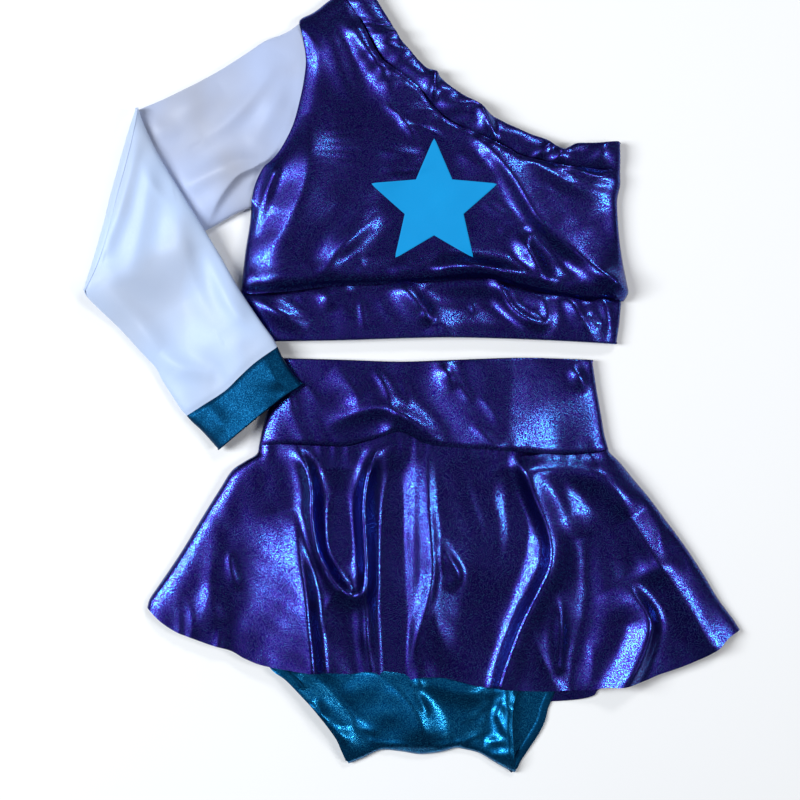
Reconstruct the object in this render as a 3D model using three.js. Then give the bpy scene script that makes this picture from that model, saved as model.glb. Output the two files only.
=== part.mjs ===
// A child's two-piece cheer uniform, laid flat on its back: a one-shoulder crop top with a single long
// sleeve folded over at the elbow, and a skirted brief below it. Millimetres, +Z up from the surface that
// it lies on, +Y towards the head, +X towards the side without a sleeve.
import * as THREE from "three";

// Fabric and construction
const PLY = 0.5; // one thickness of stretch fabric
const GAP = 0.3; // air between pieces that lie on each other
const SEWN_GAP = 0.8; // air between two edges that meet at a seam
const ELASTIC = 0.6; // thickness of the elastic tapes
const OVERLOCK = 0.8; // thickness of an overlocked seam allowance
const OVERLOCK_WIDTH = 4;
const SIDE_SEAM = 1.2; // thickness of an upright side seam
const LOFT = 12; // height of a garment as it lies, from its back to its front

// Skirted brief, measured flat from the middle of the waist seam
const WAIST_SEAM = 248;
const WAIST_TOP = 228;
const WAISTBAND = 63;
const WAIST_ELASTIC = 25;
const SKIRT_LENGTH = 172;
const SKIRT_SIDE_LEFT = 141;
const SKIRT_SIDE_RIGHT = 164;
const SKIRT_FLARE = 36.7; // degrees that each side leans out
const FLUTES = 5; // standing folds across the front of the skirt
const FLUTE_HEIGHT = 15;
const SKIRT_TIP_HEIGHT = 2.4; // height of the front layer at the two hem tips
const BRIEF_INSET = 3; // how far the brief stays inside the skirt at the waist seam
const BRIEF_SIDE = 131; // waist seam to the top of the leg opening
const BRIEF_HIP = 5; // how far each hip stands out past the waist
const CROTCH = 219; // waist seam to the middle of the crotch fold
const LEG_TIP_DROP = 16; // how far the leg openings reach below the crotch fold
const CROTCH_WIDTH = 120; // between the two leg openings
const LEG_BAND = 8;
const LEG_ELASTIC = 4;
const GUSSET_STRIP = 8; // how far the gusset turns up over the front
const LINING_LENGTH = 55;

// Crop top, measured flat from the middle of the lower edge of its band
const LAY_GAP = 14; // between the waistband's top and the crop top's band
const BAND_WIDTH = 268;
const UNDERBUST_BAND = 32;
const UNDERBUST_ELASTIC = 20;
const CHEST = 266;
const CHEST_HEM = 278; // bodice across the seam to the band
const HEM_RISE = 9; // how far that seam arches up at the middle
const SIDE_LEFT = 65;
const SIDE_RIGHT = 91;
const ARMHOLE = 135;
const SHOULDER_INSET = 36; // shoulder tip from the side
const SHOULDER = [34, 14]; // shoulder seam, across and up
const NECK_BAND = 19;
const NECK_ELASTIC = 6;
const EMBLEM_RADIUS = 48;
const EMBLEM_THICKNESS = 0.4;
const EMBLEM_UP = 98; // lower edge of the band to the emblem's middle

// Sleeve
const UPPER_ARM = 133.5;
const UPPER_ARM_ANGLE = 207.7; // degrees from +X
const FOREARM = 157;
const FOREARM_ANGLE = -56; // after the fold
const WRIST = 82;
const CUFF = 31;
const CUFF_END = 76.5;

// Facets
const SPAN = 12; // steps across a flattened tube
const TURN = 4; // steps round each of its sides

const FOLDED = 2 * (PLY + GAP) + ELASTIC; // a folded band with an elastic in it
const CUFF_WALL = 2 * PLY + GAP; // a folded band with nothing in it

const at = (x, y) => new THREE.Vector2(x, y);
const radians = THREE.MathUtils.degToRad;
const heading = (degrees) => at(Math.cos(radians(degrees)), Math.sin(radians(degrees)));
const line = (a, b) => new THREE.LineCurve(a, b);
const along = (start, degrees, length) => start.clone().addScaledVector(heading(degrees), length);
const smooth = (t) => THREE.MathUtils.smoothstep(t, 0, 1);

// --- Solids from rings -------------------------------------------------------------------------------

/** Joins rings of equal length into one closed body. An open stack is capped, point k to its mirror. */
function skin(rings, closed) {
  const count = rings[0].length;
  const index = [];
  const id = (i, j) => (i % rings.length) * count + (j % count);
  for (let i = 0; i < rings.length - (closed ? 0 : 1); i++) {
    for (let j = 0; j < count; j++) {
      index.push(id(i, j), id(i + 1, j), id(i + 1, j + 1));
      index.push(id(i, j), id(i + 1, j + 1), id(i, j + 1));
    }
  }
  for (let k = 0; !closed && k + 1 < count / 2; k++) {
    const [a, b, c, d] = [k, k + 1, count - 2 - k, count - 1 - k];
    const end = rings.length - 1;
    index.push(id(0, a), id(0, b), id(0, c), id(0, a), id(0, c), id(0, d));
    index.push(id(end, c), id(end, b), id(end, a), id(end, d), id(end, c), id(end, a));
  }
  const points = rings.flat();
  if (volume(points, index) < 0) index.reverse();
  const geometry = new THREE.BufferGeometry().setFromPoints(points);
  geometry.setIndex(index);
  geometry.computeVertexNormals();
  return geometry;
}

/** Six times the volume that the triangles enclose, negative if they face inwards. */
function volume(points, index) {
  let sum = 0;
  for (let i = 0; i < index.length; i += 3) {
    const [a, b, c] = [points[index[i]], points[index[i + 1]], points[index[i + 2]]];
    sum += a.dot(new THREE.Vector3().crossVectors(b, c));
  }
  return sum;
}

/** Rings of a flattened tube between two plan curves: ring(share along it, depth below its skin). */
function flatTube(start, end, low, high) {
  const radius = (high - low) / 2;
  const middle = (high + low) / 2;
  const inside = (curve, t) => {
    const length = curve.getLength();
    return curve.getPointAt((radius + (length - 2 * radius) * t) / length);
  };
  const plan = (t, share) => inside(start, t).lerp(inside(end, t), share);
  const side = (t, share) => start.getTangentAt(t).lerp(end.getTangentAt(t), share).normalize();
  return (share, depth) => {
    const ring = [];
    const put = (p, z) => ring.push(new THREE.Vector3(p.x, p.y, z));
    const turn = (t, way) => {
      for (let k = 1; k < TURN; k++) {
        const angle = (Math.PI * k) / TURN;
        const out = side(t, share).multiplyScalar(way * (radius - depth) * Math.sin(angle));
        put(plan(t, share).add(out), middle + way * (radius - depth) * Math.cos(angle));
      }
    };
    for (let i = 0; i <= SPAN; i++) put(plan(i / SPAN, share), high - depth);
    turn(1, 1);
    for (let i = SPAN; i >= 0; i--) put(plan(i / SPAN, share), low + depth);
    turn(0, -1);
    return ring;
  };
}

/** A tube of one ply, open at both ends. */
function sleeveShell(tube) {
  return skin([tube(0, 0), tube(1, 0), tube(1, PLY), tube(0, PLY)], true);
}

/** A tube of two plies folded over at its far end and open at its seam, with room for a core. */
function foldedBand(tube, width, wall) {
  const fold = 1 - PLY / width;
  const rings = [tube(0, 0), tube(1, 0), tube(1, wall), tube(0, wall)];
  rings.push(tube(0, wall - PLY), tube(fold, wall - PLY), tube(fold, PLY), tube(0, PLY));
  return skin(rings, true);
}

/** A flat loop inside a tube, between two shares of its length. */
function tape(tube, from, to, depth, thickness) {
  const deeper = depth + thickness;
  return skin([tube(from, depth), tube(to, depth), tube(to, deeper), tube(from, deeper)], true);
}

/** Elastic in a folded band, against its fold. */
function elasticIn(tube, width, tapeWidth) {
  const top = width - PLY - GAP;
  return tape(tube, (top - tapeWidth) / width, top / width, PLY + GAP, ELASTIC);
}

/** The seam allowance that a folded band's open edge closes over. */
function allowanceIn(tube, width) {
  return tape(tube, GAP / width, (GAP + OVERLOCK_WIDTH) / width, PLY + GAP, ELASTIC);
}

/** Rows of plan points that fill four edges, each a list of points, left and right running upwards. */
function patch(bottom, top, left, right) {
  const columns = bottom.length - 1;
  const rows = left.length - 1;
  return left.map((edge, j) => {
    const v = j / rows;
    return bottom.map((base, i) => {
      const u = i / columns;
      const ends = bottom[0].clone().lerp(bottom[columns], u).lerp(top[0].clone().lerp(top[columns], u), v);
      return base.clone().lerp(top[i], v).add(edge.clone().lerp(right[j], u)).sub(ends);
    });
  });
}

/** A panel of one ply over a patch. height gives its lower face. */
function panel(rows, height) {
  const rings = rows.map((row, j) => {
    const z = (i) => height(i / (row.length - 1), j / (rows.length - 1));
    const under = row.map((p, i) => new THREE.Vector3(p.x, p.y, z(i)));
    const over = row.map((p, i) => new THREE.Vector3(p.x, p.y, z(i) + PLY));
    return [...under, ...over.reverse()];
  });
  return skin(rings, false);
}

/** A flat panel of one ply inside a closed outline. */
function flatPanel(outline, low) {
  const geometry = new THREE.ExtrudeGeometry(new THREE.Shape(outline), { depth: PLY, bevelEnabled: false });
  return geometry.translate(0, 0, low);
}

/** An upright strip along an edge, growing to its inner side. top gives its height at each point. */
function wall(points, inward, thickness, low, top) {
  const rings = points.map((p, i) => {
    const q = p.clone().addScaledVector(inward, thickness);
    const high = top(i / (points.length - 1));
    return [[p, low], [p, high], [q, high], [q, low]].map(([r, z]) => new THREE.Vector3(r.x, r.y, z));
  });
  return skin(rings, false);
}

/** A straight line moved by a vector. */
const shift = (edge, vector) => line(edge.v1.clone().add(vector), edge.v2.clone().add(vector));

/** A curve beside another, on its left for a positive distance. */
function beside(curve, distance, steps = SPAN) {
  const points = Array.from({ length: steps + 1 }, (_, i) => {
    const tangent = curve.getTangentAt(i / steps);
    return curve.getPointAt(i / steps).add(at(-tangent.y, tangent.x).multiplyScalar(distance));
  });
  return new THREE.SplineCurve(points);
}

const rowOf = (curve, steps) => curve.getSpacedPoints(steps);

// --- Materials ---------------------------------------------------------------------------------------

const finish = (color, roughness, metalness) => new THREE.MeshStandardMaterial({ color, roughness, metalness });
const foilPurple = finish(0x241b78, 0.35, 0.7);
const foilTeal = finish(0x0a6d99, 0.35, 0.7);
const whiteKnit = finish(0xdfe6f5, 0.75, 0);
const vinylBlue = finish(0x0ca5f0, 0.55, 0);
const elasticWhite = finish(0xe8e8e4, 0.8, 0);
const threadPurple = finish(0x1c1560, 0.8, 0);
const threadTeal = finish(0x0a5f86, 0.8, 0);
const threadWhite = finish(0xe6ebf5, 0.8, 0);

function add(group, name, geometry, material) {
  const mesh = new THREE.Mesh(geometry, material);
  mesh.name = name;
  group.add(mesh);
  return mesh;
}

// --- Skirted brief -----------------------------------------------------------------------------------

const INNER_LOW = FOLDED - PLY; // where the brief's back meets the waistband's inner ply
const INNER_HIGH = LOFT - FOLDED + PLY;

function waistband(group) {
  const seam = line(at(-WAIST_SEAM / 2, 0), at(WAIST_SEAM / 2, 0));
  const top = line(at(-WAIST_TOP / 2, WAISTBAND), at(WAIST_TOP / 2, WAISTBAND));
  const tube = flatTube(seam, top, 0, LOFT);
  add(group, "waistband", foldedBand(tube, WAISTBAND, FOLDED), foilPurple);
  add(group, "waist_elastic", elasticIn(tube, WAISTBAND, WAIST_ELASTIC), elasticWhite);
  add(group, "waist_seam_overlock", allowanceIn(tube, WAISTBAND), threadPurple);
}

/** The skirt's four edges in plan, with its back a little longer than its front. */
function skirtEdges(longer) {
  const y = -SEWN_GAP;
  const [left, right] = [at(-WAIST_SEAM / 2, y), at(WAIST_SEAM / 2, y)];
  const leftTip = along(left, 270 - SKIRT_FLARE, SKIRT_SIDE_LEFT);
  const rightTip = along(right, 270 + SKIRT_FLARE, SKIRT_SIDE_RIGHT);
  const low = (share, x) => at(x, y - (SKIRT_LENGTH + longer) * share);
  const hem = [leftTip, low(0.79, leftTip.x * 0.88), low(0.93, leftTip.x * 0.57), low(1, 0)];
  hem.push(low(1, rightTip.x * 0.55), low(0.9, rightTip.x * 0.86), rightTip);
  return { left, right, leftTip, rightTip, hem: new THREE.SplineCurve(hem) };
}

function skirt(group) {
  const columns = FLUTES * 8;
  const rows = 8;
  const front = skirtEdges(0);
  const frontPlan = patch(
    rowOf(front.hem, columns),
    rowOf(line(front.left, front.right), columns),
    rowOf(line(front.leftTip, front.left), rows),
    rowOf(line(front.rightTip, front.right), rows),
  );
  const start = LOFT - PLY;
  const height = (u, v) => {
    const nearSide = smooth(Math.min(u, 1 - u) * 9);
    const flute = FLUTE_HEIGHT * 0.5 * (1 - Math.cos(2 * Math.PI * FLUTES * u));
    const hem = SKIRT_TIP_HEIGHT + (start - SKIRT_TIP_HEIGHT) * nearSide + nearSide * flute;
    return start + (hem - start) * smooth(1 - v);
  };
  add(group, "skirt_front", panel(frontPlan, height), foilPurple);

  const back = skirtEdges(7);
  const backPlan = [back.left, ...rowOf(back.hem, SPAN), back.right];
  add(group, "skirt_back", flatPanel(backPlan, 0), foilPurple);

  // The seam ends short of the hem and of the waistband, between the two layers.
  const seamTop = (u) => (t) => height(u, t) - GAP;
  const low = PLY + GAP;
  const leftEdge = rowOf(line(front.leftTip, front.left), rows);
  const rightEdge = rowOf(line(front.rightTip, front.right), rows);
  const leftSeam = wall(leftEdge, at(1, 0), SIDE_SEAM, low, seamTop(0));
  const rightSeam = wall(rightEdge, at(-1, 0), SIDE_SEAM, low, seamTop(1));
  add(group, "skirt_side_seam_left", leftSeam, threadPurple);
  add(group, "skirt_side_seam_right", rightSeam, threadPurple);
}

/** A leg opening's outer edge, from the hip to the crotch. way is -1 on the left and 1 on the right. */
function legEdge(way) {
  const hip = WAIST_SEAM / 2 - BRIEF_INSET + BRIEF_HIP + LEG_BAND;
  const tip = CROTCH_WIDTH / 2;
  const [top, bottom] = [-BRIEF_SIDE, -CROTCH - LEG_TIP_DROP];
  const { lerp } = THREE.MathUtils;
  const between = (share, x) => at(way * lerp(hip, tip, x), lerp(top, bottom, share));
  return new THREE.SplineCurve([between(0, 0), between(0.3, 0.3), between(0.62, 0.66), between(1, 1)]);
}

function brief(group) {
  const steps = 6;
  const seamY = -SEWN_GAP;
  const waist = WAIST_SEAM / 2 - BRIEF_INSET;
  const legs = { left: legEdge(-1), right: legEdge(1) };
  const sideways = { left: 1, right: -1 };
  const legSeam = {};
  for (const side of ["left", "right"]) {
    legSeam[side] = beside(legs[side], sideways[side] * LEG_BAND, steps);
    const tube = flatTube(legSeam[side], legs[side], PLY + GAP, LOFT - PLY - GAP);
    add(group, `leg_band_${side}`, foldedBand(tube, LEG_BAND, FOLDED), foilTeal);
    add(group, `leg_elastic_${side}`, elasticIn(tube, LEG_BAND, LEG_ELASTIC), elasticWhite);
  }

  // Panels stop at the leg bands' seams and at the gusset.
  const legSide = (side) => {
    const seam = rowOf(beside(legs[side], sideways[side] * (LEG_BAND + SEWN_GAP), steps), steps).reverse();
    const way = -sideways[side];
    const hip = seam[seam.length - 1];
    return [...seam, at(hip.x, hip.y / 2), at(way * waist, seamY)];
  };
  const leftSide = legSide("left");
  const rightSide = legSide("right");
  const [leftTip, rightTip] = [leftSide[0], rightSide[0]];
  const fold = new THREE.QuadraticBezierCurve(
    leftTip,
    at(0, 2 * -CROTCH - (leftTip.y + rightTip.y) / 2),
    rightTip,
  );
  const radius = (INNER_HIGH - INNER_LOW) / 2;
  const middle = (INNER_HIGH + INNER_LOW) / 2;
  const crotch = rowOf(fold, SPAN).map((p) => p.add(at(0, radius)));

  const lift = GUSSET_STRIP + SEWN_GAP;
  const foot = crotch.map((p) => p.clone().add(at(0, lift)));
  const above = (side) => side.filter((p) => p.y > foot[0].y + 1);
  const outline = [...foot, ...above(rightSide), ...above(leftSide).reverse()];
  add(group, "brief_front", flatPanel(outline, INNER_HIGH - PLY), foilTeal);
  add(group, "brief_back", flatPanel(outline, INNER_LOW), foilTeal);

  // The gusset turns from the front, round the crotch fold, to the back.
  const turnedSteps = 6;
  const gussetRing = (p, reach) => {
    const ring = [];
    ring.push(new THREE.Vector3(p.x, p.y + GUSSET_STRIP, middle + reach));
    for (let k = 0; k <= turnedSteps; k++) {
      const angle = (Math.PI * k) / turnedSteps;
      ring.push(new THREE.Vector3(p.x, p.y - reach * Math.sin(angle), middle + reach * Math.cos(angle)));
    }
    ring.push(new THREE.Vector3(p.x, p.y + GUSSET_STRIP, middle - reach));
    return ring;
  };
  const turned = crotch.map((p) => [...gussetRing(p, radius), ...gussetRing(p, radius - PLY).reverse()]);
  add(group, "gusset", skin(turned, false), foilTeal);

  const liningFoot = foot.slice(2, -2);
  const liningTop = liningFoot.map((p) => p.clone().add(at(0, LINING_LENGTH))).reverse();
  add(group, "gusset_lining", flatPanel([...liningFoot, ...liningTop], INNER_LOW + PLY + GAP), foilTeal);

  const sideEdge = (side) => side.slice(-3);
  const high = () => INNER_HIGH - PLY - GAP;
  const low = INNER_LOW + PLY + GAP;
  const leftSeam = wall(sideEdge(leftSide), at(1, 0), SIDE_SEAM, low, high);
  const rightSeam = wall(sideEdge(rightSide), at(-1, 0), SIDE_SEAM, low, high);
  add(group, "brief_side_seam_left", leftSeam, threadTeal);
  add(group, "brief_side_seam_right", rightSeam, threadTeal);
}

// --- Crop top ----------------------------------------------------------------------------------------

const underarm = at(-CHEST / 2, UNDERBUST_BAND + SIDE_LEFT);
const shoulderTip = at(-CHEST / 2 + SHOULDER_INSET, underarm.y + ARMHOLE);
const neckPoint = shoulderTip.clone().add(at(...SHOULDER));
const sideTop = at(CHEST / 2, UNDERBUST_BAND + SIDE_RIGHT);

/** Height of the seam between the bodice and its band. */
const hemSeam = (x) => UNDERBUST_BAND + HEM_RISE * (1 - (2 * x / CHEST_HEM) ** 2);
const hemCurve = (width, lift) => {
  const points = Array.from({ length: SPAN + 1 }, (_, i) => (i / SPAN - 0.5) * width);
  return new THREE.SplineCurve(points.map((x) => at(x, hemSeam(x) + lift)));
};

/** The seam between the bodice and the neck band, from the shoulder down to the side. */
function neckSeam() {
  const steep = at(neckPoint.x + 23, neckPoint.y - 58);
  const shallow = at(sideTop.x - 103, sideTop.y + 5);
  return new THREE.CubicBezierCurve(neckPoint, steep, shallow, sideTop);
}

/** The armhole seam, from the shoulder tip down to the underarm. */
function armhole() {
  const down = (x, share) => at(shoulderTip.x + x, shoulderTip.y - ARMHOLE * share);
  return new THREE.SplineCurve([shoulderTip, down(4.5, 0.24), down(-1, 0.51), down(-17, 0.75), underarm]);
}

function underbustBand(group) {
  const floor = line(at(-BAND_WIDTH / 2 + 2, 0), at(BAND_WIDTH / 2 - 2, 0));
  const tube = flatTube(hemCurve(BAND_WIDTH, 0), floor, 0, LOFT);
  add(group, "underbust_band", foldedBand(tube, UNDERBUST_BAND, FOLDED), foilPurple);
  add(group, "underbust_elastic", elasticIn(tube, UNDERBUST_BAND, UNDERBUST_ELASTIC), elasticWhite);
  add(group, "underbust_seam_overlock", allowanceIn(tube, UNDERBUST_BAND), threadPurple);
}

function neckBand(group) {
  const seam = neckSeam();
  const tube = flatTube(seam, beside(seam, NECK_BAND), 0, LOFT);
  add(group, "neck_band", foldedBand(tube, NECK_BAND, FOLDED), foilPurple);
  add(group, "neck_elastic", elasticIn(tube, NECK_BAND, NECK_ELASTIC), elasticWhite);
  add(group, "neck_seam_overlock", allowanceIn(tube, NECK_BAND), threadPurple);
}

function bodice(group) {
  const bottom = rowOf(hemCurve(CHEST_HEM, SEWN_GAP), SPAN);
  const top = rowOf(beside(neckSeam(), -SEWN_GAP), SPAN);
  const foot = bottom[0];
  const right = [bottom[SPAN], top[SPAN]];
  const outline = [...bottom, ...top.reverse(), ...rowOf(armhole(), SPAN)];
  add(group, "bodice_back", flatPanel(outline, 0), foilPurple);
  add(group, "bodice_front", flatPanel(outline, LOFT - PLY), foilPurple);

  const seam = (edge, inward) => wall(edge, inward, SIDE_SEAM, PLY + GAP, () => LOFT - PLY - GAP);
  add(group, "bodice_side_seam_left", seam([foot, underarm], at(1, 0)), threadPurple);
  add(group, "bodice_side_seam_right", seam(right, at(-1, 0)), threadPurple);
  add(group, "shoulder_seam", seam([shoulderTip, top.at(-1)], at(0, -1)), threadPurple);
}

/** A plain five-pointed star of heat-pressed film. */
function emblem(group) {
  const star = new THREE.Shape();
  const points = 5;
  const inner = EMBLEM_RADIUS * 0.46;
  for (let k = 0; k < 2 * points; k++) {
    const radius = k % 2 ? inner : EMBLEM_RADIUS;
    const p = heading(90 + (k * 180) / points).multiplyScalar(radius);
    if (k) star.lineTo(p.x, p.y);
    else star.moveTo(p.x, p.y);
  }
  star.closePath();
  const geometry = new THREE.ExtrudeGeometry(star, { depth: EMBLEM_THICKNESS, bevelEnabled: false });
  add(group, "emblem", geometry, vinylBlue).position.set(0, EMBLEM_UP, LOFT + GAP);
}

// --- Sleeve ------------------------------------------------------------------------------------------

const upperArmWay = heading(UPPER_ARM_ANGLE);
const creaseTop = shoulderTip.clone().addScaledVector(upperArmWay, UPPER_ARM);
const creaseFoot = underarm.clone().addScaledVector(upperArmWay, UPPER_ARM);

function upperSleeve(group) {
  const root = beside(armhole(), -SEWN_GAP);
  const crease = shift(line(creaseTop, creaseFoot), upperArmWay.clone().multiplyScalar(-GAP));
  const tube = flatTube(root, crease, 0, LOFT);
  add(group, "sleeve_upper", sleeveShell(tube), whiteKnit);
  const share = OVERLOCK_WIDTH / UPPER_ARM;
  add(group, "armhole_seam_overlock", tape(tube, share / 4, share * 1.25, PLY + GAP, OVERLOCK), threadWhite);
}

function lowerSleeve(group) {
  const forearmWay = heading(FOREARM_ANGLE);
  const across = heading(FOREARM_ANGLE + 90);
  const crease = shift(line(creaseTop, creaseFoot), forearmWay.clone().multiplyScalar(GAP));
  const wristMiddle = creaseTop.clone().lerp(creaseFoot, 0.5).addScaledVector(forearmWay, FOREARM);
  const end = (middle, distance) => middle.clone().addScaledVector(across, distance);
  const lineAcross = (middle, width) => line(end(middle, width / 2), end(middle, -width / 2));
  const wrist = lineAcross(wristMiddle, WRIST);
  const tube = flatTube(crease, wrist, 0, LOFT);
  add(group, "sleeve_lower", sleeveShell(tube), whiteKnit);
  const share = OVERLOCK_WIDTH / FOREARM;
  add(group, "cuff_seam_overlock", tape(tube, 1 - share * 1.25, 1 - share / 4, PLY + GAP, OVERLOCK), threadWhite);

  const cuffStart = lineAcross(wristMiddle.clone().addScaledVector(forearmWay, SEWN_GAP), WRIST);
  const cuffEnd = lineAcross(wristMiddle.clone().addScaledVector(forearmWay, CUFF), CUFF_END);
  add(group, "cuff", foldedBand(flatTube(cuffStart, cuffEnd, 0, LOFT), CUFF, CUFF_WALL), foilTeal);
}

// --- Assembly ----------------------------------------------------------------------------------------

const bottoms = new THREE.Group();
waistband(bottoms);
skirt(bottoms);
brief(bottoms);

const top = new THREE.Group();
top.position.y = WAISTBAND + LAY_GAP;
underbustBand(top);
neckBand(top);
bodice(top);
emblem(top);
upperSleeve(top);

const foldedForearm = new THREE.Group();
foldedForearm.position.z = LOFT + 2 * GAP;
lowerSleeve(foldedForearm);
top.add(foldedForearm);

const uniform = new THREE.Group();
uniform.add(bottoms, top);
const extent = new THREE.Box3().setFromObject(uniform, true);
const middle = extent.getCenter(new THREE.Vector3());
uniform.position.set(-middle.x, -middle.y, -extent.min.z);

export default uniform;
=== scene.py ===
import math

import bmesh
import bpy
import numpy as np
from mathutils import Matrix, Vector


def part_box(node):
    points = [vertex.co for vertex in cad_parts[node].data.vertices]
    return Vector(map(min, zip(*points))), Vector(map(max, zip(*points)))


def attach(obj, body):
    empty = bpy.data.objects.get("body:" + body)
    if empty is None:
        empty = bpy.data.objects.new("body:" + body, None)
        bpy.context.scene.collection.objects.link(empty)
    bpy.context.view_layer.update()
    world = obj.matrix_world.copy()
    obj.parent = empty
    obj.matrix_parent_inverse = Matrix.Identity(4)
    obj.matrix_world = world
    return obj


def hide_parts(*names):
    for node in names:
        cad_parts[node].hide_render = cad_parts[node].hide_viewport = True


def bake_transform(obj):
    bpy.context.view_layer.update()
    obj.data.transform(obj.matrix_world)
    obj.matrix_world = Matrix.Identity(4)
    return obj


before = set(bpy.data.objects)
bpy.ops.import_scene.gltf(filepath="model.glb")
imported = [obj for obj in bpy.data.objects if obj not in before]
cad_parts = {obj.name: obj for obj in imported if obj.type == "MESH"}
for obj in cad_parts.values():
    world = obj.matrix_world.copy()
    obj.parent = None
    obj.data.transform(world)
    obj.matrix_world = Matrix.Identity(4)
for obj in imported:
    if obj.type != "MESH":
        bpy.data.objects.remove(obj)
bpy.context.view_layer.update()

MM = 0.001
CLOTH = 0.55  # thickness of one ply as it shows
FILM = 0.25  # thickness of the emblem
STEP = 1.5  # spacing of the cloth's grid
FINE_STEP = 1.2  # the same for the narrow bands
EASE = 0.5  # how much closer a grid's columns lie at its two sides
SECTION_ROOT = 2.3  # how round the two sides of a flattened tube are
WELD = 2e-6  # metres: points nearer than this are one
SPLINE_STEPS = 24  # straight pieces in each span of a curve
BACK_HEIGHT = 0.8  # of the back layer over the floor
SIDE_HEIGHT = 5.2  # where the layers of the underbust band and of the upper sleeve meet

# Heights of the front layers before their folds are added.
SKIRT_LOFT = 12.6
WAISTBAND_LOFT = 12.2
BRIEF_LOFT = 5.6
BODICE_LOFT = 13
UNDERBUST_LOFT = 11.4
NECK_LOFT = 12.4
SLEEVE_LOFT = 11.8
ARMHOLE_LOFT = 11.6
# The same, over what the folded half of the sleeve rests on.
FOREARM_LOFT = 8.2
CUFF_LOFT = 8.8


# --- Curves and grids, in millimetres ------------------------------------------------------------


def smooth(t):
    """0 to 1 with no corner at either end."""
    t = np.clip(t, 0, 1)
    return t * t * (3 - 2 * t)


def bell(distance, width):
    return np.exp(-((distance / width) ** 2))


def spline(points, n, ease=0.0):
    """n points along a smooth curve through the given ones, closer at its ends for ease above 0."""
    p = np.asarray(points, float)
    padded = np.vstack([2 * p[0] - p[1], p, 2 * p[-1] - p[-2]])
    t = np.linspace(0, 1, SPLINE_STEPS, endpoint=False)[:, None]
    dense = []
    for a, b, c, d in zip(padded, padded[1:], padded[2:], padded[3:]):
        bend, twist = 2 * a - 5 * b + 4 * c - d, 3 * b - a - 3 * c + d
        dense.append(0.5 * (2 * b + (c - a) * t + bend * t**2 + twist * t**3))
    dense = np.vstack([*dense, p[-1:]])
    length = np.r_[0, np.cumsum(np.linalg.norm(np.diff(dense, axis=0), axis=1))]
    s = share(n, ease) * length[-1]
    return np.column_stack([np.interp(s, length, dense[:, k]) for k in range(p.shape[1])])


def share(n, ease=0.0):
    """n numbers from 0 to 1, closer at both ends for ease above 0."""
    t = np.linspace(0, 1, n)
    return t * (1 - ease) + ease * (0.5 - 0.5 * np.cos(math.pi * t))


def patch(low, high, left, right, u, v):
    """A grid that fills four arrays of points. left and right run from low to high."""
    u = u[None, :, None]
    v = v[:, None, None]
    ends = (1 - v) * ((1 - u) * low[0] + u * low[-1]) + v * ((1 - u) * high[0] + u * high[-1])
    across = (1 - v) * low[None] + v * high[None]
    return across + (1 - u) * left[:, None] + u * right[:, None] - ends


def plan_of(low, high, left, right, rows, cols):
    """The same from four lists of points."""
    low, high = spline(low, cols, EASE), spline(high, cols, EASE)
    return patch(low, high, spline(left, rows), spline(right, rows), share(cols, EASE), share(rows))


def near(x, y, line):
    """Distance to a line of (x, y, value) points, the value there, and the side: 1 is the left."""
    best = np.full(x.shape, 1e9)
    value = np.zeros(x.shape)
    side = np.ones(x.shape)
    for a, b in zip(line, line[1:]):
        dx, dy = b[0] - a[0], b[1] - a[1]
        t = np.clip(((x - a[0]) * dx + (y - a[1]) * dy) / (dx * dx + dy * dy), 0, 1)
        ex, ey = x - a[0] - t * dx, y - a[1] - t * dy
        d = np.hypot(ex, ey)
        closer = d < best
        best = np.where(closer, d, best)
        value = np.where(closer, a[2] + t * (b[2] - a[2]), value)
        side = np.where(closer, np.sign(dx * ey - dy * ex), side)
    return best, value, side


FOOT = 8  # how sharply a straight flank meets the cloth around it
CREST = 0.15  # share of a straight fold's width that is round at its top


def profile(t, power):
    """Section of a fold, 1 at its crest. A power of 1 gives straight flanks and a crest of 0.85."""
    if power != 1:
        return np.exp(-(t**power))
    return np.logaddexp(0, FOOT * (1 - np.hypot(t, CREST))) / FOOT


def folds(x, y, lines):
    """Height of folds. Each is (left width, right width, sharpness, [(x, y, height), ...])."""
    z = np.zeros(x.shape)
    for left, right, power, line in lines:
        points = spline(line, 4 * len(line))
        d, height, side = near(x, y, points)
        width = np.where(side > 0, left, right)
        z += height * profile(d / width, power)
    return z


def ripple(x, y, seed, wave, heading=None, spread=180, terms=9):
    """Gentle random undulation of unit height. Its crests run at heading, in degrees."""
    rng = np.random.default_rng(seed)
    z = np.zeros(x.shape)
    for _ in range(terms):
        base = 0 if heading is None else heading + 90
        angle = math.radians(base + rng.uniform(-spread, spread) / 2)
        k = 2 * math.pi / (wave * rng.uniform(0.6, 1.7))
        along = x * math.sin(angle) - y * math.cos(angle)
        bend = rng.uniform(0.5, 1.5) * np.sin(along * k * 0.37 + rng.uniform(0, 6))
        z += np.cos((x * math.cos(angle) + y * math.sin(angle)) * k + bend + rng.uniform(0, 6))
    return z / math.sqrt(terms / 2)


def creases(x, y, seed, count, box, heading, spread, length, height, width):
    """Scattered short creases. The last three arguments are (least, most) pairs."""
    rng = np.random.default_rng(seed)
    lines = []
    for _ in range(count):
        cx, cy = rng.uniform(box[0], box[2]), rng.uniform(box[1], box[3])
        angle = math.radians(heading + rng.uniform(-spread, spread))
        half = 0.5 * rng.uniform(*length)
        bow = rng.uniform(-0.25, 0.25) * half
        h = rng.uniform(*height)
        dx, dy = math.cos(angle), math.sin(angle)
        ends = [(-1, 0, 0), (-0.4, bow, h), (0.4, bow, h), (1, 0, 0)]
        line = [(cx + half * t * dx - b * dy, cy + half * t * dy + b * dx, k) for t, b, k in ends]
        w = rng.uniform(*width)
        lines.append((w, w * rng.uniform(0.7, 1.6), 1.7, line))
    return folds(x, y, lines)


# --- Meshes --------------------------------------------------------------------------------------


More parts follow.
